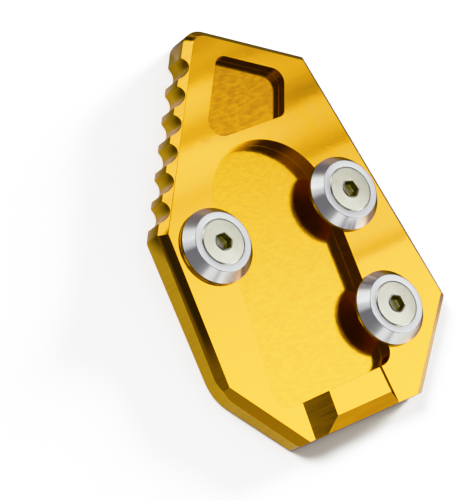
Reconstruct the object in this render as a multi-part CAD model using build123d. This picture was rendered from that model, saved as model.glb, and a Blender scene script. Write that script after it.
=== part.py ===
from build123d import *
import os
from math import cos, radians, sin, tan

# Plate outline, seen from above. Rises are measured up from the slot end edge,
# and insets inwards from the plate's widest points.
plate_length = 110.0          # slot end edge to the sharp toe corner
plate_width = 76.8            # lower left corner to right corner
end_left = 24.0               # slot end edge, left of the middle
end_right = 17.9              # slot end edge, right of the middle
right_rise = 20.8
toe_right_rise = 92.8
toe_right_inset = 7.9
toe_offset = 0.2              # sharp toe corner, right of the middle
left_rise = 61.9
left_inset = 3.2
lower_left_rise = 19.7

toe_radius = 5.7              # the toe corner, rounded with its chamfer
lower_left_radius = 12.0      # the wall below the mitred chamfer
left_radius = 2.5
end_radius = 2.0
right_radius = 0.8

# Section: the underside is flat and slopes away from the top face towards the toe
end_thickness = 6.3           # at the slot end edge
underside_slope = 1.9         # degrees
top_chamfer = 2.0
bottom_break = 0.6

# Grip notches along the left toe side
notch_count = 6
notch_pitch = 8.2
notch_radius = 3.5
notch_depth = 1.8
first_notch = 12.1            # from the sharp toe corner to the first notch's middle

# Toe recess: margins in from the outer wall, and its far side along the toe side
recess_depth = 3.0
recess_grip_margin = 8.9
recess_toe_margin = 6.4
recess_reach = 28.2           # from the sharp toe corner along the toe side
recess_height = 30.5          # from the sharp toe corner down to the lower side
recess_top_radius = 2.9
recess_right_radius = 3.6
recess_low_right_radius = 2.5
recess_low_left_radius = 3.7

# Foot pocket: a round head and two sides that open out towards the slot end
pocket_depth = 4.4
pocket_radius = 17.4
pocket_head_rise = 59.0
pocket_head_offset = -0.05    # from the middle of the plate
pocket_left_lean = 9.7        # degrees
pocket_right_lean = 5.2
pocket_wall_lean = 1.2        # the end wall's left end lies nearer the end edge
pocket_corner_left = 4.0
pocket_corner_right = 4.5

# Leg slot: from the pocket's end wall out through the slot end edge. Its floor is a shelf just
# under the top face, which a ramp and a bevel bring back up to that face.
slot_length = 10.05           # at the middle of the plate
slot_left = 19.8              # at the end edge, left of the middle
slot_right = 8.5
slot_left_lean = 7.6          # degrees
shelf_width = 18.3
shelf_drop = 0.5              # at the slot's right wall
shelf_tilt = 0.95             # degrees down to the left
bevel_run = 3.3               # from the shelf to the end edge

# Clamp discs, each beside the pocket, and their countersunk screws
disc_diameter = 20.0
disc_height = 4.0
disc_rim_radius = 7.9
disc_band = 1.0               # the upright band under the conical side
disc_edge = 0.2
screw_diameter = 6.0
screw_length = 10.0
screw_tip = 0.8
head_diameter = 12.0
head_land = 0.15              # the upright rim of the head
head_dome = 0.3
head_sink = 0.15              # the foot of that rim below the disc's rim
hex_size = 4.0                # across flats
hex_depth = 2.2
thread_clearance = 0.05
bore_clearance = 0.3
seat_clearance = 0.02
hole_edge = 0.4

# Places of the discs' middles: down the pocket's side from its head, and outside its edge.
# The hex turns are in degrees.
left_down = 8.7
left_beside = 3.4
left_hex_turn = 59.0
right_down = 2.2
right_beside = 4.0
right_hex_turn = 43.5
lower_right_down = 34.1
lower_right_beside = 4.2
lower_right_hex_turn = 32.3
clamps = {"left": ("left", left_down, left_beside, left_hex_turn),
          "right": ("right", right_down, right_beside, right_hex_turn),
          "lower_right": ("right", lower_right_down, lower_right_beside, lower_right_hex_turn)}

half_width = plate_width / 2
end_y = -plate_length / 2
head_radius = head_diameter / 2
screw_radius = screw_diameter / 2
slot_wall_y = end_y + slot_length
above = 5.0                   # how far cutting tools stand clear of the faces they cut


def corner(x, rise):
    return Vector(x, end_y + rise)


def heading(start, end):
    return (end - start).normalized()


def inward(start, end):
    """Unit vector to the left of the way from start to end: into the plate, going anticlockwise."""
    way = heading(start, end)
    return Vector(-way.Y, way.X)


def meet(point, way, other_point, other_way):
    """Where two lines cross, each given by a point and a direction."""
    gap = other_point - point
    cross = way.X * other_way.Y - way.Y * other_way.X
    return point + way * ((gap.X * other_way.Y - gap.Y * other_way.X) / cross)


def rounded(points, radii):
    """A polygon with a radius at each corner."""
    face = make_face(Polyline(*points, close=True))
    for point, radius in zip(points, radii):
        if radius:
            face = fillet(face.vertices().sort_by_distance(point)[0], radius)
    return face


def prism(face, low, high):
    return extrude(Pos(0, 0, low) * face, high - low)


end_left_corner = corner(-end_left, 0)
end_right_corner = corner(end_right, 0)
right_corner = corner(half_width, right_rise)
toe_right_corner = corner(half_width - toe_right_inset, toe_right_rise)
toe_corner = corner(toe_offset, plate_length)
left_corner = corner(left_inset - half_width, left_rise)
lower_left_corner = corner(-half_width, lower_left_rise)
outline = [end_left_corner, end_right_corner, right_corner, toe_right_corner,
           toe_corner, left_corner, lower_left_corner]

grip_way = heading(toe_corner, left_corner)
grip_in = inward(toe_corner, left_corner)
toe_way = heading(toe_corner, toe_right_corner)
toe_in = inward(toe_right_corner, toe_corner)
head_centre = corner(pocket_head_offset, pocket_head_rise)


def blank():
    """The plate's block, its top face at Z = 0: chamfer with sharp mitres, then rounded wall."""
    depth = end_thickness + plate_length * tan(radians(underside_slope)) + above
    mitred = prism(rounded(outline, [0, 0, 0, 0, toe_radius, 0, 0]), -depth, 0)
    rim = mitred.faces().sort_by(Axis.Z)[-1].edges()
    end_edge = rim.sort_by(Axis.Y)[0]
    block = chamfer([edge for edge in rim if edge != end_edge], top_chamfer)
    radii = [end_radius, right_radius, right_radius, right_radius, toe_radius,
             left_radius, lower_left_radius]
    return block & prism(rounded(outline, radii), -depth, 0)


def underside_cut(size=400.0):
    """Everything under the sloping underside."""
    low = Pos(0, end_y, -end_thickness) * Rot(-underside_slope, 0, 0)
    return low * Pos(0, 0, -size / 2) * Box(size, size, size)


def notch_cuts():
    """Round upright cutters whose middles lie outside the grip side."""
    reach = notch_radius - notch_depth
    cuts = []
    for index in range(notch_count):
        middle = toe_corner + grip_way * (first_notch + index * notch_pitch) - grip_in * reach
        cuts.append(Pos(middle.X, middle.Y) * Cylinder(notch_radius, plate_length))
    return cuts


def recess_cut():
    """Four-sided toe recess, parallel to the grip side, the toe side and the slot end."""
    grip_line = toe_corner + grip_in * recess_grip_margin
    toe_line = toe_corner + toe_in * recess_toe_margin
    far_line = toe_corner + toe_way * recess_reach
    low_line = toe_corner - Vector(0, recess_height)
    level = Vector(1, 0)
    points = [meet(grip_line, grip_way, toe_line, toe_way),
              meet(toe_line, toe_way, far_line, toe_in),
              meet(far_line, toe_in, low_line, level),
              meet(low_line, level, grip_line, grip_way)]
    radii = [recess_top_radius, recess_right_radius, recess_low_right_radius,
             recess_low_left_radius]
    return prism(rounded(points, radii), -recess_depth, above)


def pocket_side(side):
    """Outward direction of a pocket side, and its direction down towards the slot end."""
    if side == "left":
        lean = radians(pocket_left_lean)
        return Vector(-cos(lean), sin(lean)), Vector(-sin(lean), -cos(lean))
    lean = radians(pocket_right_lean)
    return Vector(cos(lean), -sin(lean)), Vector(-sin(lean), -cos(lean))


def pocket_cut():
    """Round head, two tangent sides, and an end wall with rounded corners."""
    lean = radians(pocket_wall_lean)
    wall, level = Vector(0, slot_wall_y), Vector(cos(lean), sin(lean))
    tangents, feet = [], []
    for side in ("left", "right"):
        out, down = pocket_side(side)
        tangents.append(head_centre + out * pocket_radius)
        feet.append(meet(tangents[-1], down, wall, level))
    crown = head_centre + Vector(0, pocket_radius)
    sides = Polyline(tangents[0], feet[0], feet[1], tangents[1])
    face = make_face([sides, ThreePointArc(tangents[1], crown, tangents[0])])
    for foot, radius in zip(feet, (pocket_corner_left, pocket_corner_right)):
        face = fillet(face.vertices().sort_by_distance(foot)[0], radius)
    return prism(face, -pocket_depth, above)


def above_plane(first, second, third):
    """All that lies above the plane through three points."""
    way = (second - first).cross(third - first)
    if way.Z < 0:
        way = -way
    block = Box(4 * plate_length, 4 * plate_length, plate_length)
    return Plane(first, z_dir=way).location * Pos(0, 0, plate_length / 2) * block


def slot_cut():
    """A shelf, a ramp that rises from it to the left side, and a bevel that rises to the end."""
    lean, tilt = tan(radians(slot_left_lean)), tan(radians(shelf_tilt))
    inner, outer = slot_wall_y + above, end_y - above
    bevel_y = end_y + bevel_run

    def left_side(y):
        return Vector(-slot_left + (y - end_y) * lean, y)

    def shelf(x, y):
        return Vector(x, y, -shelf_drop - (slot_right - x) * tilt)

    plan = make_face(Polyline(left_side(outer), (slot_right, outer), (slot_right, inner),
                              left_side(inner), close=True))
    right_foot = shelf(slot_right, bevel_y)
    ramp_foot = shelf(slot_right - shelf_width, bevel_y)
    floor = above_plane(right_foot, ramp_foot, shelf(slot_right, slot_wall_y))
    ramp = above_plane(ramp_foot, left_side(end_y), left_side(slot_wall_y))
    bevel = above_plane(right_foot, ramp_foot, Vector(slot_right, end_y))
    return prism(plan, -plate_length, above) & floor & ramp & bevel


def clamp_centre(side, way_down, beside):
    out, down = pocket_side(side)
    return head_centre + out * (pocket_radius + beside) + down * way_down


def screw_holes():
    """Tapped holes right through the plate, each with its mouth broken."""
    radius = screw_radius + thread_clearance
    cuts = []
    for side, way_down, beside, _ in clamps.values():
        centre = clamp_centre(side, way_down, beside)
        hole = Cylinder(radius, plate_length)
        mouth = Pos(0, 0, -hole_edge / 2) * Cone(radius, radius + hole_edge, hole_edge)
        cuts.append(Pos(centre.X, centre.Y) * (hole + mouth))
    return cuts


def make_plate():
    plate = blank() - underside_cut() - notch_cuts()
    underside = plate.faces().sort_by(Axis.Z)[0]
    plate = chamfer(underside.outer_wire().edges(), bottom_break)
    return plate - pocket_cut() - slot_cut() - recess_cut() - screw_holes()


def turned(points):
    """A solid of revolution about Z from the points of its half section."""
    half = make_face(Polyline(*[(x, 0, z) for x, z in points], close=True))
    return revolve(half, Axis.Z)


def make_disc():
    """Conical clamp disc with a right-angled countersink, lying on Z = 0."""
    outer = disc_diameter / 2
    bore = screw_radius + bore_clearance
    mouth = head_radius + head_sink
    return turned([(bore, 0), (outer - disc_edge, 0), (outer, disc_edge), (outer, disc_band),
                   (disc_rim_radius, disc_height), (mouth, disc_height),
                   (bore, disc_height - mouth + bore)])


def make_screw(turn):
    """Countersunk screw in its disc: the disc's underside is Z = 0."""
    land = disc_height - head_sink + seat_clearance
    edge = land + head_land
    neck = land - head_radius + screw_radius
    tip = edge - screw_length
    body = turned([(0, tip), (screw_radius - screw_tip, tip), (screw_radius, tip + screw_tip),
                   (screw_radius, neck), (head_radius, land), (head_radius, edge),
                   (head_radius - head_dome, edge + head_dome), (0, edge + head_dome)])
    socket = RegularPolygon(hex_size / 2, 6, major_radius=False, rotation=turn)
    top = edge + head_dome
    pit = Pos(0, 0, top - hex_depth) * extrude(socket, hex_depth + above)
    point = Pos(0, 0, top - hex_depth - hex_size / 8) * Cone(0, hex_size / 2, hex_size / 4)
    return body - pit - point


def build():
    """All pieces in the plate's own frame, its top face at Z = 0."""
    pieces = {"base_plate": make_plate()}
    for name, (side, way_down, beside, turn) in clamps.items():
        centre = clamp_centre(side, way_down, beside)
        place = Pos(centre.X, centre.Y)
        pieces[f"{name}_clamp_disc"] = place * make_disc()
        pieces[f"{name}_clamp_screw"] = place * make_screw(turn)
    return pieces


def rest(pieces):
    """Turn the underside level, and put the middle of the plate's underside at the origin."""
    level = Rot(underside_slope, 0, 0)
    box = (level * pieces["base_plate"]).bounding_box()
    centre = box.center()
    place = Pos(-centre.X, -centre.Y, -box.min.Z) * level
    return {name: place * piece for name, piece in pieces.items()}


os.makedirs("parts", exist_ok=True)
for node, shape in rest(build()).items():
    export_step(shape, f"parts/{node}.step")
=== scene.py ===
import math

import bmesh
import bpy
import numpy as np
from mathutils import Matrix, Vector


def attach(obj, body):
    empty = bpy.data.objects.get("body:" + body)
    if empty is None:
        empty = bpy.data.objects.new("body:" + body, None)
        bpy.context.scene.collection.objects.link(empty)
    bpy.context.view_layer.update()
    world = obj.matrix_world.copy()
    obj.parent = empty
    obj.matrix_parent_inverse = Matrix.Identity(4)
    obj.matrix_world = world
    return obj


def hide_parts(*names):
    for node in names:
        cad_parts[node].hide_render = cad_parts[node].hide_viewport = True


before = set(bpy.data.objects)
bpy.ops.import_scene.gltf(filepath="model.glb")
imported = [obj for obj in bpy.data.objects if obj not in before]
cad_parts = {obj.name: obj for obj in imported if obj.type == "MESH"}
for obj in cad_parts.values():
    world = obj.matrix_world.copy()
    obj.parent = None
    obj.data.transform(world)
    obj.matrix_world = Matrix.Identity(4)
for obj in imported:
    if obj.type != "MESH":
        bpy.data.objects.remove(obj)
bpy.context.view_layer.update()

mm = 0.001
firstColour, secondColour, mixedColour = 6, 7, 2    # a Mix node's sockets when it mixes colours
scene = bpy.context.scene
print("frame loaded:", ", ".join(sorted(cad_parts)))


def toLinear(hexColour):  # sRGB hex to linear red, green, blue, alpha
    channels = np.array([int(hexColour[i:i + 2], 16) for i in (1, 3, 5)]) / 255
    linear = np.where(channels <= 0.04045, channels / 12.92, ((channels + 0.055) / 1.055) ** 2.4)
    return (*linear.tolist(), 1.0)


def addNode(tree, kind, settings=None, inputs=None):
    # Settings are the node's own. An input is a value, or a socket to link from.
    node = tree.nodes.new(kind)
    for name, value in (settings or {}).items():
        setattr(node, name, value)
    for name, value in (inputs or {}).items():
        if isinstance(value, bpy.types.NodeSocket):
            tree.links.new(value, node.inputs[name])
        else:
            node.inputs[name].default_value = value
    return node


# The photograph's viewpoint, as fitted to the three discs.
cameraView = {
    "place": (-419.4 * mm, -95.9 * mm, 573.3 * mm),
    "target": (-19.25 * mm, -3.74 * mm, 11.97 * mm),
    "up": (0.2959, 0.8858, 0.3566),
    "lens": 201.6,             # mm, as the sensor is
    "sensor": 36.0,
    "clip": (0.01, 50),        # metres
}


def makeCamera(view):
    data = bpy.data.cameras.new("camera")
    data.lens, data.sensor_width = view["lens"], view["sensor"]
    data.clip_start, data.clip_end = view["clip"]
    camera = bpy.data.objects.new("camera", data)
    scene.collection.objects.link(camera)
    back = (Vector(view["place"]) - Vector(view["target"])).normalized()
    right = Vector(view["up"]).cross(back).normalized()
    axes = Matrix((right, back.cross(right), back)).transposed()
    camera.matrix_world = Matrix.Translation(view["place"]) @ axes.to_4x4()
    scene.camera = camera


# The photograph's tone curve, from light to picture, both linear: deep shadows, a long shoulder
# that turns bright gold pale, and whites that clip.
toneCurve = {
    "whiteLevel": 1.6,
    "points": [(0.0, 0.0), (0.02, 0.012), (0.05, 0.037), (0.10, 0.086), (0.20, 0.187),
               (0.40, 0.40), (0.70, 0.70), (1.0, 0.875), (1.3, 0.965), (1.6, 1.0)],
    # Blue light has its own response, because deep gold loses it.
    "bluePoints": [(0.0, 0.0), (0.045, 0.008), (0.06, 0.017), (0.07, 0.035), (0.08, 0.072),
                   (0.09, 0.105), (0.11, 0.14), (0.16, 0.17), (0.22, 0.22), (1.6, 1.6)],
}


def setTone(look):
    view = scene.view_settings
    view.view_transform = "Standard"
    view.use_curve_mapping = True
    curves = view.curve_mapping
    curves.white_level = [look["whiteLevel"]] * 3
    curves.extend = "HORIZONTAL"
    blueCurve, wholeCurve = curves.curves[2:4]
    for light, tone in look["points"][1:-1]:  # a curve has its two end points already
        wholeCurve.points.new(light / look["whiteLevel"], tone)
    for light, kept in look["bluePoints"][1:-1]:
        blueCurve.points.new(light / look["whiteLevel"], kept / look["whiteLevel"])
    curves.update()


makeCamera(cameraView)
setTone(toneCurve)
print("camera placed")


# The studio: a wide soft box to the right of the object, mirrored by every level face, round soft
# boxes about it, and dark surroundings. Places are directions: x to the right, y towards the toe.
# A level face mirrors a band of y from 0.0 at the slot end to 0.16 at the toe, so the three folds
# in the wide box's cloth are the bands across the plate.
studio = {
    "paleWall": "#F7F7F7",
    "surroundings": 0.048,
    "boxLight": 2.0,           # the ramps' colours are held as shares of this light
    "clothRange": (-0.02, 0.18),   # the y that the folds' ramps cover: little, so edges are crisp
    "leftStops": [(0.0115, 1.87), (0.031, 1.82), (0.0671, 1.68), (0.0949, 1.49), (0.1005, 1.38),
                 (0.1032, 1.34), (0.1074, 1.56), (0.1188, 1.65), (0.1195, 1.1), (0.1216, 1.03),
                 (0.1243, 1.06), (0.128, 1.36), (0.1338, 1.52), (0.1383, 1.5), (0.139, 1),
                 (0.1422, 0.9), (0.1449, 1.05), (0.1505, 0.79)],
    "rightStops": [(0.0115, 1.87), (0.0574, 1.68), (0.0582, 1.09), (0.0608, 1.26), (0.0643, 1.54),
                 (0.081, 1.42), (0.0977, 1.31), (0.0985, 0.67), (0.0998, 0.72), (0.1032, 1.02),
                 (0.106, 1.2), (0.1116, 1.31), (0.1169, 1.26), (0.1177, 0.62), (0.1199, 0.54),
                 (0.1227, 0.64), (0.1269, 1), (0.131, 1.07), (0.1366, 0.95), (0.1422, 0.6),
                 (0.1477, 1.05), (0.1519, 0.69)],
    "boxRange": (-0.5, 0.5),   # the y that the whole box's ramp covers
    "boxStops": [(-0.45, 0.15), (-0.25, 0.45), (-0.1, 1), (0.16, 1), (0.27, 1.05), (0.42, 0.3)],
    "sides": (0.574, 0.612),   # the x where the left stops give way to the right ones
    "boxNear": (0.34, 0.46),   # the wide box fades in over this x, away from overhead
    "boxFar": (0.712, 0.648),  # and out again over this x
    "roundBoxes": {            # full light within the inner angle, none past the outer, in degrees
        "toe": {"towards": (-0.40, 0.82, 0.40), "inner": 12, "outer": 26, "light": 1.7},
        "toeLeft": {"towards": (-0.80, 0.57, 0.20), "inner": 9, "outer": 19, "light": 1.0},
        "slot": {"towards": (-0.50, -0.70, 0.52), "inner": 8, "outer": 30, "light": 0.35},
        "low": {"towards": (-0.46, -0.87, 0.17), "inner": 10, "outer": 19, "light": 1.1},
        "lowRight": {"towards": (0.36, -0.92, 0.10), "inner": 22, "outer": 36, "light": 1.3},
        "left": {"towards": (-0.90, -0.25, 0.36), "inner": 28.5, "outer": 33.5, "light": 0.22},
        "right": {"towards": (0.80, -0.50, 0.33), "inner": 12, "outer": 30, "light": 0.55},
        "toeRight": {"towards": (0.55, 0.75, 0.40), "inner": 15, "outer": 32, "light": 0.3},
        "overhead": {"towards": (0.02, -0.05, 1.0), "inner": 10, "outer": 26, "light": 0.9},
        "toeMiddle": {"towards": (0.05, 0.84, 0.54), "inner": 7, "outer": 20, "light": 0.9},
        "edgeLine": {"towards": (-0.30, 0.02, 0.95), "inner": 5, "outer": 10, "light": 3.5},
    },
    "horizon": {"height": 0.12, "light": 0.40},    # a band that fades out at this height
}


def makeStudio(look):
    world = bpy.data.worlds.new("studio")
    world.use_nodes = True
    scene.world = world
    tree = world.node_tree
    tree.nodes.clear()
    towards = addNode(tree, "ShaderNodeTexCoord").outputs["Generated"]
    split = addNode(tree, "ShaderNodeSeparateXYZ", inputs={0: towards})

    def lightRamp(stops, reach):  # brightness along y, as grey values
        along = addNode(tree, "ShaderNodeMapRange", inputs={
            "Value": split.outputs["Y"], "From Min": reach[0], "From Max": reach[1]})
        ramp = addNode(tree, "ShaderNodeValToRGB", inputs={"Fac": along.outputs[0]})
        points = ramp.color_ramp.elements
        while len(points) < len(stops):
            points.new(0.5)
        for point, (place, light) in zip(points, stops):
            point.position = (place - reach[0]) / (reach[1] - reach[0])
            share = light / look["boxLight"]
            point.color = (share, share, share, 1)
        return ramp.outputs["Color"]

    def fade(value, start, end):  # smooth 0 to 1 from start to end
        return addNode(tree, "ShaderNodeMapRange", {"interpolation_type": "SMOOTHSTEP"}, {
            "Value": value, "From Min": start, "From Max": end}).outputs[0]

    def multiply(first, second):
        return addNode(tree, "ShaderNodeMath", {"operation": "MULTIPLY"},
                       {0: first, 1: second}).outputs[0]

    def add(first, second):
        return addNode(tree, "ShaderNodeMath", {"operation": "ADD"},
                       {0: first, 1: second}).outputs[0]

    def roundBox(box):  # a soft-edged round light about one direction
        axis = Vector(box["towards"]).normalized()
        near = addNode(tree, "ShaderNodeVectorMath", {"operation": "DOT_PRODUCT"},
                       {0: towards, 1: axis})
        return multiply(fade(near.outputs["Value"], math.cos(math.radians(box["outer"])),
                             math.cos(math.radians(box["inner"]))), box["light"])

    toTheRight = fade(split.outputs["X"], *look["sides"])
    cloth = addNode(tree, "ShaderNodeMix", {"data_type": "RGBA"}, {
        "Factor": toTheRight, firstColour: lightRamp(look["leftStops"], look["clothRange"]),
        secondColour: lightRamp(look["rightStops"], look["clothRange"])})
    softBox = multiply(cloth.outputs[mixedColour], lightRamp(look["boxStops"], look["boxRange"]))
    window = multiply(fade(split.outputs["X"], *look["boxNear"]),
                      fade(split.outputs["X"], *look["boxFar"]))
    light = multiply(multiply(softBox, look["boxLight"] ** 2), window)  # undoes both ramps' shares
    for box in look["roundBoxes"].values():
        light = add(light, roundBox(box))
    horizon = multiply(fade(split.outputs["Z"], look["horizon"]["height"], 0),
                       look["horizon"]["light"])
    light = add(add(light, horizon), look["surroundings"])
    lights = addNode(tree, "ShaderNodeBackground", inputs={"Strength": light})
    wall = addNode(tree, "ShaderNodeBackground", inputs={"Color": toLinear(look["paleWall"])})
    seen = addNode(tree, "ShaderNodeLightPath").outputs["Is Camera Ray"]
    mixed = addNode(tree, "ShaderNodeMixShader", inputs={0: seen, 1: lights.outputs[0],
                                                         2: wall.outputs[0]})
    addNode(tree, "ShaderNodeOutputWorld", inputs={"Surface": mixed.outputs[0]})


# Lamps for the card's white and its soft shadows, with their spread in degrees. The metal mirrors
# the soft boxes only.
lamps = {
    "overheadLamp": {"from": (-0.53, 0.56, 0.63), "energy": 4.0, "spread": 24},
    "sideLamp": {"from": (0.95, 0.22, 0.15), "energy": 14.0, "spread": 18},
}


def makeLamps(looks):
    for name, look in looks.items():
        data = bpy.data.lights.new(name, "SUN")
        data.energy, data.angle = look["energy"], math.radians(look["spread"])
        lamp = bpy.data.objects.new(name, data)
        lamp.rotation_mode = "QUATERNION"
        lamp.rotation_quaternion = Vector(look["from"]).to_track_quat("Z", "Y")
        lamp.visible_glossy = False
        scene.collection.objects.link(lamp)


# Seamless studio card: matt painted board, pale to the camera. Where metal mirrors it, the card is
# painted shade: greyer about the object, and darker still past each given edge, so the walls there
# mirror a dark floor. Each edge has the way it lies from the middle, and how far off the painted
# shade starts to darken and is full.
floorLook = {
    "size": 6.0,
    "colour": "#F0F1F5", "mirroredShade": "#B2AFA6", "shadeBeyondEdges": "#504A3E",
    "shadeEdges": [((0.87, 0.5, 0), 14 * mm, 30 * mm),
                  ((-0.815, 0.58, 0), 33.4 * mm, 36.6 * mm)],
    "roughness": 0.9, "specular": 0.2,
}


def makeFloor(look):
    half = look["size"] / 2
    mesh = bpy.data.meshes.new("floor")
    mesh.from_pydata([(-half, -half, 0), (half, -half, 0), (half, half, 0), (-half, half, 0)], [],
                     [(0, 1, 2, 3)])
    floor = bpy.data.objects.new("floor", mesh)
    scene.collection.objects.link(floor)
    material = bpy.data.materials.new("paintedBoard")
    material.use_nodes = True
    tree = material.node_tree
    tree.nodes.clear()
    place = addNode(tree, "ShaderNodeTexCoord").outputs["Object"]
    # The painted shade's mask: 0 about the object, 1 past any of the given edges.
    shadeMask = 0
    for direction, start, end in look["shadeEdges"]:
        distance = addNode(tree, "ShaderNodeVectorMath", {"operation": "DOT_PRODUCT"},
                           {0: place, 1: direction})
        fade = addNode(tree, "ShaderNodeMapRange", inputs={
            "Value": distance.outputs["Value"], "From Min": start, "From Max": end})
        shadeMask = addNode(tree, "ShaderNodeMath", {"operation": "MAXIMUM"},
                         {0: fade.outputs[0], 1: shadeMask}).outputs[0]
    # Painted shade for the metal to mirror: a greyer card, and a dark colour past the edges.
    mirroredShade = addNode(tree, "ShaderNodeMix", {"data_type": "RGBA"}, {
        "Factor": shadeMask, firstColour: toLinear(look["mirroredShade"]),
        secondColour: toLinear(look["shadeBeyondEdges"])})
    seen = addNode(tree, "ShaderNodeLightPath").outputs["Is Camera Ray"]
    colour = addNode(tree, "ShaderNodeMix", {"data_type": "RGBA"}, {
        "Factor": seen, firstColour: mirroredShade.outputs[mixedColour],
        secondColour: toLinear(look["colour"])})
    board = addNode(tree, "ShaderNodeBsdfPrincipled", inputs={
        "Base Color": colour.outputs[mixedColour], "Roughness": look["roughness"],
        "Specular IOR Level": look["specular"]})
    addNode(tree, "ShaderNodeOutputMaterial", inputs={"Surface": board.outputs[0]})
    mesh.materials.append(material)


makeStudio(studio)
makeLamps(lamps)
makeFloor(floorLook)
print("studio lit")


def nodePoints(name):  # a CAD node's vertices, as rows of x, y, z in metres
    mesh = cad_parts[name].data
    points = np.empty(len(mesh.vertices) * 3, np.float32)
    mesh.vertices.foreach_get("co", points)
    return points.reshape(-1, 3).astype(float)


def levelNormal(mesh, leastRise=0.99):  # the normal of the largest triangle that looks up
    normals = np.empty(len(mesh.polygons) * 3, np.float32)
    areas = np.empty(len(mesh.polygons), np.float32)
    mesh.polygons.foreach_get("normal", normals)
    mesh.polygons.foreach_get("area", areas)
    normals = normals.reshape(-1, 3)
    areas[normals[:, 2] < leastRise] = 0
    return Vector(normals[areas.argmax()]).normalized()


# The plate's own axes: its top face leans a little, because the plate thickens towards the toe.
plateUp = levelNormal(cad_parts["base_plate"].data)
plateAcross = Vector((0, 1, 0)).cross(plateUp).normalized()
plateAlong = plateUp.cross(plateAcross)
plateAxes = np.array([plateAcross, plateAlong, plateUp])
topHeight = (nodePoints("base_plate") @ np.array(plateUp)).max()


def finishPiece(piece, nodes, rounding=None):
    if rounding:  # every machined edge is broken a little
        bevel = piece.modifiers.new("brokenEdges", "BEVEL")
        bevel.width, bevel.segments = rounding["width"], rounding["segments"]
        bevel.limit_method = "WEIGHT"
        bevel.use_clamp_overlap = True
    flats = piece.modifiers.new("trueFlats", "WEIGHTED_NORMAL")
    flats.weight, flats.keep_sharp = 100, True    # the largest face decides, so flats look flat
    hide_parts(*nodes)
    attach(piece, "root")


# Which part of the cutter lines' noise turns the colour and the gloss, and how far the gloss goes.
cutterLines = {"tintFrom": 0.35, "tintTo": 0.65, "glossFrom": 0.3, "glossTo": 0.7,
               "smoother": 0.8, "rougher": 1.25}


def anodisedAluminium(name, look):
    # Gold dyed anodising over bright aluminium: a saturated metallic sheen under a thin clear
    # oxide, which adds a whitish gloss. Cutter lines and cloudy patches tilt the gloss a little.
    material = bpy.data.materials.new(name)
    material.use_nodes = True
    tree = material.node_tree
    tree.nodes.clear()
    place = addNode(tree, "ShaderNodeTexCoord").outputs["Object"]
    lined = addNode(tree, "ShaderNodeMapping", inputs={
        "Vector": place, "Rotation": (0, 0, math.radians(look["lineTurn"])),
        "Scale": (1 / look["lineLength"], 1 / look["lineSpacing"], 1 / look["lineLength"])})
    lines = addNode(tree, "ShaderNodeTexNoise", inputs={
        "Vector": lined.outputs[0], "Scale": 1, "Detail": 1, "Roughness": 0.5})
    clouds = addNode(tree, "ShaderNodeTexNoise", inputs={
        "Vector": place, "Scale": 1 / look["cloudSize"], "Detail": 1.5, "Roughness": 0.5,
        "Distortion": look["swirl"]})
    grain = addNode(tree, "ShaderNodeTexNoise", inputs={
        "Vector": place, "Scale": 1 / look["grainSize"], "Detail": 1})
    streaks = addNode(tree, "ShaderNodeMapRange", inputs={
        "Value": lines.outputs["Fac"], "From Min": cutterLines["tintFrom"],
        "From Max": cutterLines["tintTo"]})
    tint = addNode(tree, "ShaderNodeMix", {"data_type": "RGBA"}, {
        "Factor": streaks.outputs[0], firstColour: toLinear(look["colour"]),
        secondColour: toLinear(look["deepColour"])})
    gloss = addNode(tree, "ShaderNodeMapRange", inputs={
        "Value": lines.outputs["Fac"], "From Min": cutterLines["glossFrom"],
        "From Max": cutterLines["glossTo"], "To Min": look["roughness"] * cutterLines["smoother"],
        "To Max": look["roughness"] * cutterLines["rougher"]})
    normal = None
    for pattern, depth in ((clouds, "cloudDepth"), (lines, "lineDepth"), (grain, "grainDepth")):
        bump = addNode(tree, "ShaderNodeBump", inputs={
            "Strength": 1.0, "Distance": look[depth], "Height": pattern.outputs["Fac"]})
        if normal:
            tree.links.new(normal, bump.inputs["Normal"])
        normal = bump.outputs["Normal"]
    metal = addNode(tree, "ShaderNodeBsdfPrincipled", inputs={
        "Base Color": tint.outputs[mixedColour], "Metallic": 1.0, "Roughness": gloss.outputs[0],
        "Normal": normal, "Coat Weight": look["oxide"], "Coat IOR": look["oxideIor"],
        "Coat Roughness": look["oxideRoughness"]})
    addNode(tree, "ShaderNodeOutputMaterial", inputs={"Surface": metal.outputs[0]})
    return material


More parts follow.
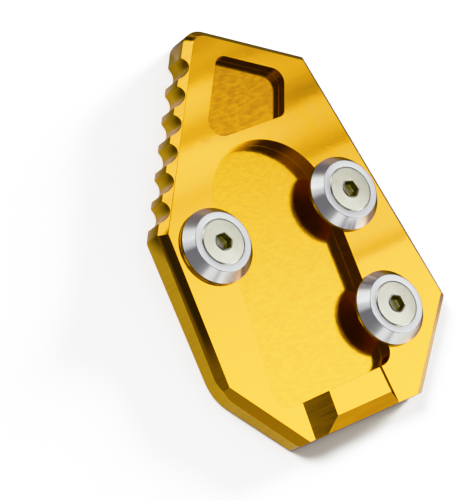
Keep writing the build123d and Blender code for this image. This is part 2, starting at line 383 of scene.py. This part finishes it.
plateLook = {
    "rounding": {"width": 0.28 * mm, "segments": 3},
    "mergeWithin": 0.001 * mm,
    "flatWithin": 0.2,         # degrees: triangles that differ less are joined to one face
    "hardAngle": 25,           # degrees: edges sharper than this are hard
    "softAngle": 2,            # and so are these between faces that both look up
    "looksUp": 0.9,            # such a face's normal rises more than this
    "faces": {                 # lineTurn is in degrees, and a depth is the bump's full height
        "groundTop": {
            "colour": "#F7B11A", "deepColour": "#F7B019", "roughness": 0.03,
            "lineTurn": 0, "lineLength": 30 * mm, "lineSpacing": 0.6 * mm,
            "lineDepth": 0.00006 * mm,
            "cloudSize": 6 * mm, "cloudDepth": 0.0025 * mm, "swirl": 0.8,
            "grainSize": 0.6 * mm, "grainDepth": 0.00002 * mm,
            "oxide": 1.0, "oxideIor": 1.6, "oxideRoughness": 0.03},
        "milledWall": {
            "colour": "#E8B626", "deepColour": "#DEAC1E", "roughness": 0.12,
            "lineTurn": 0, "lineLength": 12 * mm, "lineSpacing": 0.8 * mm,
            "lineDepth": 0.0003 * mm,
            "cloudSize": 5 * mm, "cloudDepth": 0.0015 * mm, "swirl": 0.3,
            "grainSize": 0.5 * mm, "grainDepth": 0.0001 * mm,
            "oxide": 1.0, "oxideIor": 1.6, "oxideRoughness": 0.15},
        "milledChamfer": {
            "colour": "#EAA91A", "deepColour": "#E5A012", "roughness": 0.10,
            "lineTurn": 0, "lineLength": 12 * mm, "lineSpacing": 0.8 * mm,
            "lineDepth": 0.0003 * mm,
            "cloudSize": 5 * mm, "cloudDepth": 0.0015 * mm, "swirl": 0.3,
            "grainSize": 0.5 * mm, "grainDepth": 0.0001 * mm,
            "oxide": 1.0, "oxideIor": 1.6, "oxideRoughness": 0.12},
        "endMilledPocket": {
            "colour": "#FAB722", "deepColour": "#F7B31E", "roughness": 0.14,
            "lineTurn": 35, "lineLength": 2.0 * mm, "lineSpacing": 0.6 * mm,
            "lineDepth": 0.0007 * mm,
            "cloudSize": 2.4 * mm, "cloudDepth": 0.012 * mm, "swirl": 1.2,
            "grainSize": 0.8 * mm, "grainDepth": 0.0003 * mm,
            "oxide": 1.0, "oxideIor": 1.6, "oxideRoughness": 0.18},
        # The recess's gold is darker than the top's: painted shade in the recess. Its two golds,
        # mixed by the cutter lines, are the finish's.
        "endMilledRecessWithPaintedShade": {
            "colour": "#E2A012", "deepColour": "#CE8C08", "roughness": 0.15,
            "lineTurn": -50, "lineLength": 2.4 * mm, "lineSpacing": 0.9 * mm,
            "lineDepth": 0.0030 * mm,
            "cloudSize": 2.6 * mm, "cloudDepth": 0.006 * mm, "swirl": 1.2,
            "grainSize": 0.8 * mm, "grainDepth": 0,
            "oxide": 1.0, "oxideIor": 1.6, "oxideRoughness": 0.2},
    },
    "wallRise": 0.25,          # a wall's normal rises less than this along the plate's own up
    "levelRise": 0.9997,       # a level face's rises at least this much, a chamfer's less
    "recessDepth": 2.0 * mm,   # level faces deeper than this are the recess
    "pocketDepth": 3.6 * mm,   # and deeper than this, the pocket
}


def markHardEdges(shape, look):  # they get a bevel, and shading breaks there
    weights = shape.edges.layers.float.new("bevel_weight_edge")
    hard, soft = math.radians(look["hardAngle"]), math.radians(look["softAngle"])
    for edge in shape.edges:
        if len(edge.link_faces) != 2:
            continue
        angle = edge.calc_face_angle()
        bothUp = min(face.normal.z for face in edge.link_faces) > look["looksUp"]
        if angle > hard or (bothUp and angle > soft):
            edge[weights] = 1.0


def makePlate(look):
    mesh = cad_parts["base_plate"].data.copy()
    mesh.name = "anodisedPlate"
    mesh.materials.clear()
    for name, faceLook in look["faces"].items():
        mesh.materials.append(anodisedAluminium(name, faceLook))
    shape = bmesh.new()
    shape.from_mesh(mesh)
    bmesh.ops.remove_doubles(shape, verts=shape.verts, dist=look["mergeWithin"])
    bmesh.ops.dissolve_limit(shape, angle_limit=math.radians(look["flatWithin"]),
                             verts=shape.verts, edges=shape.edges)
    finishes = list(look["faces"])
    for face in shape.faces:
        face.smooth = True
        rise = face.normal.dot(plateUp)
        depth = topHeight - face.calc_center_median().dot(plateUp)
        if abs(rise) < look["wallRise"]:
            finish = "milledWall"
        elif rise < look["levelRise"]:
            finish = "milledChamfer"    # the underside too
        elif depth > look["pocketDepth"]:
            finish = "endMilledPocket"
        elif depth > look["recessDepth"]:
            finish = "endMilledRecessWithPaintedShade"
        else:
            finish = "groundTop"
        face.material_index = finishes.index(finish)
    markHardEdges(shape, look)
    shape.to_mesh(mesh)
    shape.free()
    plate = bpy.data.objects.new("anodisedPlate", mesh)
    scene.collection.objects.link(plate)
    finishPiece(plate, ["base_plate"], look["rounding"])


makePlate(plateLook)
print("plate finished")


def roundedProfile(corners, steps=5):
    # A profile of (radius, height, rounding), taken as a loop: each corner becomes an arc of that
    # rounding that touches both of its sides, drawn in equal steps of angle.
    count = len(corners)
    spots = np.array([corner[:2] for corner in corners], float)
    made = []
    for index, (spot, rounding) in enumerate(zip(spots, [corner[2] for corner in corners])):
        if rounding == 0:
            made.append(spot[None, :])
            continue
        before = spots[index - 1] - spot
        after = spots[(index + 1) % count] - spot
        before, after = before / np.linalg.norm(before), after / np.linalg.norm(after)
        half = 0.5 * np.arccos(np.clip(before @ after, -1, 1))
        middle = spot + (before + after) / np.linalg.norm(before + after) * rounding / np.sin(half)
        start = spot + before * rounding / np.tan(half) - middle
        end = spot + after * rounding / np.tan(half) - middle
        turn = np.arctan2(start[0] * end[1] - start[1] * end[0], start @ end)
        angles = np.linspace(0, turn, steps)
        across = np.array([-start[1], start[0]])
        made.append(middle + np.outer(np.cos(angles), start) + np.outer(np.sin(angles), across))
    return np.vstack(made)


gridMerge = 0.0002 * mm        # closes a pole, where a whole ring lies on the axis


def gridPiece(name, rows, loops, material):
    # A grid of points, rows by columns, whose columns run once round: it wraps in the columns,
    # and in the rows too where the profile is a loop. The UV map is turns round by mm along.
    count, columns = rows.shape[:2]
    steps = np.linalg.norm(np.diff(rows, axis=0, append=rows[:1]), axis=2).max(1) / mm
    along = np.concatenate([[0], np.cumsum(steps)])
    first = np.arange(count if loops else count - 1)
    low, column = np.meshgrid(first, np.arange(columns), indexing="ij")
    high, nextColumn = (low + 1) % count, (column + 1) % columns
    corners = [(low, column), (low, nextColumn), (high, nextColumn), (high, column)]
    faces = np.stack([row * columns + place for row, place in corners], -1).reshape(-1, 4)
    u = np.stack([column, column + 1, column + 1, column], -1) / columns
    v = np.stack([along[low], along[low], along[low + 1], along[low + 1]], -1)
    mesh = bpy.data.meshes.new(name)
    mesh.from_pydata(rows.reshape(-1, 3).tolist(), [], faces.tolist())
    mesh.uv_layers.new(name="turned").data.foreach_set("uv", np.stack([u, v], -1).ravel())
    mesh.polygons.foreach_set("use_smooth", np.ones(len(mesh.polygons), bool))
    shape = bmesh.new()
    shape.from_mesh(mesh)
    bmesh.ops.remove_doubles(shape, verts=shape.verts, dist=gridMerge)
    shape.to_mesh(mesh)
    shape.free()
    mesh.materials.append(material)
    piece = bpy.data.objects.new(name, mesh)
    scene.collection.objects.link(piece)
    return piece


def seatOf(node, ringHeight=0.01 * mm):
    # Where a disc's axis meets the top face: the middle of its lowest ring of vertices.
    points = nodePoints(node)
    heights = points @ plateAxes[2]
    ring = points[heights < heights.min() + ringHeight]
    return (ring.min(0) + ring.max(0)) / 2


def standOn(points, seat):  # from the plate's own axes about a seat to the row's frame
    return points @ plateAxes + seat


# Which part of the rings' noise turns the gloss and how far it goes. The gloss fans out a quarter
# turn from the UV map's first direction.
turnedRings = {"glossFrom": 0.3, "glossTo": 0.7, "smoother": 0.94, "rougher": 1.07, "turn": 0.25}


def turnedMetal(name, look):
    # Bright metal off a lathe: fine rings follow the tool, so the gloss fans out around the axis.
    material = bpy.data.materials.new(name)
    material.use_nodes = True
    tree = material.node_tree
    tree.nodes.clear()
    turned = addNode(tree, "ShaderNodeUVMap", {"uv_map": "turned"})
    rings = addNode(tree, "ShaderNodeMapping", inputs={
        "Vector": turned.outputs[0], "Scale": (look["roundTheTurn"], 1 / look["ringPitch"], 1)})
    noise = addNode(tree, "ShaderNodeTexNoise", inputs={
        "Vector": rings.outputs[0], "Scale": 1, "Detail": 3, "Roughness": 0.65})
    place = addNode(tree, "ShaderNodeTexCoord").outputs["Object"]
    patches = addNode(tree, "ShaderNodeTexNoise", inputs={
        "Vector": place, "Scale": 1 / look["patchSize"], "Detail": 2})
    tint = addNode(tree, "ShaderNodeMix", {"data_type": "RGBA"}, {
        "Factor": patches.outputs["Fac"], firstColour: toLinear(look["colour"]),
        secondColour: toLinear(look["deepColour"])})
    gloss = addNode(tree, "ShaderNodeMapRange", inputs={
        "Value": noise.outputs["Fac"], "From Min": turnedRings["glossFrom"],
        "From Max": turnedRings["glossTo"], "To Min": look["roughness"] * turnedRings["smoother"],
        "To Max": look["roughness"] * turnedRings["rougher"]})
    bump = addNode(tree, "ShaderNodeBump", inputs={
        "Strength": 1.0, "Distance": look["ringDepth"], "Height": noise.outputs["Fac"]})
    tangent = addNode(tree, "ShaderNodeTangent", {"direction_type": "UV_MAP", "uv_map": "turned"})
    metal = addNode(tree, "ShaderNodeBsdfPrincipled", inputs={
        "Base Color": tint.outputs[mixedColour], "Metallic": 1.0, "Roughness": gloss.outputs[0],
        "Normal": bump.outputs["Normal"], "Anisotropic": look["anisotropy"],
        "Anisotropic Rotation": turnedRings["turn"], "Tangent": tangent.outputs[0]})
    addNode(tree, "ShaderNodeOutputMaterial", inputs={"Surface": metal.outputs[0]})
    return material


# Turned clamp discs, in mm: a conical side over an upright band, and a right-angled countersink.
discLook = {
    "columns": 144,
    "outerRadius": 10.0, "rimRadius": 7.9, "height": 4.0, "band": 1.0,
    "bore": 3.3, "mouth": 6.15,
    "boreEdge": 0.05, "coneEdge": 0.1, "mouthEdge": 0.04, "rimEdge": 0.22,    # roundings
    "metal": {"colour": "#E6E7EC", "deepColour": "#DCDDE3", "roughness": 0.25, "ringPitch": 0.3,
              "ringDepth": 0.00003 * mm, "roundTheTurn": 3, "patchSize": 5 * mm,
              "anisotropy": 0.45},
}


def makeDisc(name, node, look, material):
    # The profile's radius and height are carried once round the disc's axis.
    profile = roundedProfile([
        (look["bore"], 0, look["boreEdge"]),
        (look["bore"], look["height"] - look["mouth"] + look["bore"], look["coneEdge"]),
        (look["mouth"], look["height"], look["mouthEdge"]),
        (look["rimRadius"], look["height"], look["rimEdge"]),
        (look["outerRadius"], look["band"], look["rimEdge"]),
        (look["outerRadius"], 0, look["rimEdge"])])
    angle = np.linspace(0, 2 * np.pi, look["columns"], endpoint=False)
    radius, height = profile[:, :1] * mm, profile[:, 1:] * mm
    rows = np.stack([radius * np.cos(angle), radius * np.sin(angle),
                     np.broadcast_to(height, (len(profile), len(angle)))], -1)
    piece = gridPiece(name, standOn(rows, seatOf(node))[:, ::-1], True, material)
    finishPiece(piece, [node])


# Countersunk hex socket screws, in mm, with their heights above the disc's underside.
screwLook = {
    "columns": 96,
    "headRadius": 6.08, "landFoot": 3.95, "land": 0.05, "landEdge": 0.02,
    "crown": 0.32, "crownEdge": 0.05,
    "dome": 0.08,              # the head's top falls this much from its middle to its rim
    "domeFrom": 1.3,           # and is drawn from this many times the hexagon's half width
    "domeTo": 1.8,             # to this many crowns from the head's edge
    "domeRings": 7,
    "hexAcross": 4.0, "hexDepth": 2.2, "hexMouth": 0.05,
    "mouthShape": 0.85,        # the mouth chamfer's outline: 0 is round, 1 hexagonal
    "floorWidth": 0.98, "floorEdge": 0.06, "drillWidth": 0.92, "drillDepth": 0.5,
    "shankRadius": 3.0, "plainNeck": 0.6, "length": 10.0, "tip": 0.8,
    "pitch": 1.0, "threadDepth": 0.5, "ringsPerPitch": 10,
    "turns": {"left": 59.0, "right": 43.5, "lower_right": 32.3},    # of the hexagon, in degrees
    "metal": {"colour": "#E2E1D8", "deepColour": "#D6D4C8", "roughness": 0.24, "ringPitch": 0.35,
              "ringDepth": 0.00005 * mm, "roundTheTurn": 4, "patchSize": 2.5 * mm,
              "anisotropy": 0.45},
    # The socket's metal is darker and olive: painted shade down in the hexagon.
    "socket": {"colour": "#C0BA98", "deepColour": "#9A9474", "roughness": 0.30, "ringPitch": 0.5,
               "ringDepth": 0.0003 * mm, "roundTheTurn": 6, "patchSize": 1.0 * mm,
               "anisotropy": 0.0},
}


def makeScrew(name, node, look, turn, materials, seat):
    # Each row is a ring whose radius is the profile's. In the socket it is multiplied by the
    # hexagon's reach, one over the cosine of the angle from the middle of the nearest flat. On the
    # shank it loses the thread's groove, a triangle wave of height over pitch plus turns.
    flat, top = look["hexAcross"] / 2, look["landFoot"] + look["land"] + look["crown"]
    head, foot = look["headRadius"], look["landFoot"]
    neck = foot - head + look["shankRadius"]
    end = foot + look["land"] - look["length"]
    angle = np.linspace(0, 2 * np.pi, look["columns"], endpoint=False)
    fromFlat = (angle - math.radians(turn)) % (np.pi / 3) - np.pi / 6
    hexReach = 1 / np.cos(fromFlat)
    hexFloor = top - look["hexDepth"]
    socket = [(0, hexFloor - look["drillDepth"], 0), (flat * look["drillWidth"], hexFloor, 0),
              (flat * look["floorWidth"], hexFloor, 1), (flat, hexFloor + look["floorEdge"], 1),
              (flat, top - look["hexMouth"], 1),
              (flat + look["hexMouth"], top, look["mouthShape"])]
    crown = head - look["crown"]
    rim = roundedProfile([(flat, top, 0), (crown, top - look["dome"], look["crownEdge"]),
                          (head, foot + look["land"], look["crownEdge"]),
                          (head, foot, look["landEdge"]), (look["shankRadius"], neck, 0)])
    rim = [(radius, height, 0) for radius, height in rim[1:]]
    domeEnd = head - look["crown"] * look["domeTo"]
    dome = [(radius, top - look["dome"] * (radius / crown) ** 2, 0)
            for radius in np.linspace(flat * look["domeFrom"], domeEnd, look["domeRings"])]
    rim = dome + rim
    threadTop, threadFoot = neck - look["plainNeck"], end + look["tip"]
    levels = np.linspace(threadTop, threadFoot,
                         int((threadTop - threadFoot) / look["pitch"] * look["ringsPerPitch"]))
    shank = [(look["shankRadius"], level, 0) for level in levels]
    point = [(look["shankRadius"] - look["tip"], end, 0), (0, end, 0)]
    spots = np.array(socket + rim + shank + point)
    radius, height, hexed = spots[:, :1], spots[:, 1:2], spots[:, 2:]
    reach = radius * (1 + hexed * (hexReach - 1))
    phase = (height / look["pitch"] + angle / (2 * np.pi)) % 1
    groove = look["threadDepth"] * (1 - 2 * np.abs(phase - 0.5))
    threaded = np.zeros(len(spots), bool)    # two rings at the neck and one at the tip stay plain
    threaded[len(socket) + len(rim) + 2:-len(point) - 1] = True
    reach = np.where(threaded[:, None], reach - groove, reach)
    rows = np.stack([reach * np.cos(angle), reach * np.sin(angle),
                     np.broadcast_to(height, reach.shape)], -1) * mm
    piece = gridPiece(name, standOn(rows, seat)[:, ::-1], False, materials[0])
    piece.data.materials.append(materials[1])
    # The socket's faces take the metal with the painted shade.
    inSocket = np.repeat(np.arange(len(spots) - 1) < len(socket) - 1, look["columns"])
    piece.data.polygons.foreach_set("material_index", inSocket.astype(int))
    finishPiece(piece, [node])


discMetal = turnedMetal("turnedAluminium", discLook["metal"])
# The second metal is the socket's, darkened as painted shade.
screwMetals = [turnedMetal("turnedStainlessSteel", screwLook["metal"]),
               turnedMetal("broachedSteelWithPaintedShade", screwLook["socket"])]
for side, turn in screwLook["turns"].items():
    makeDisc(f"{side}Disc", f"{side}_clamp_disc", discLook, discMetal)
    makeScrew(f"{side}Screw", f"{side}_clamp_screw", screwLook, turn, screwMetals,
              seatOf(f"{side}_clamp_disc"))
print("discs and screws turned")
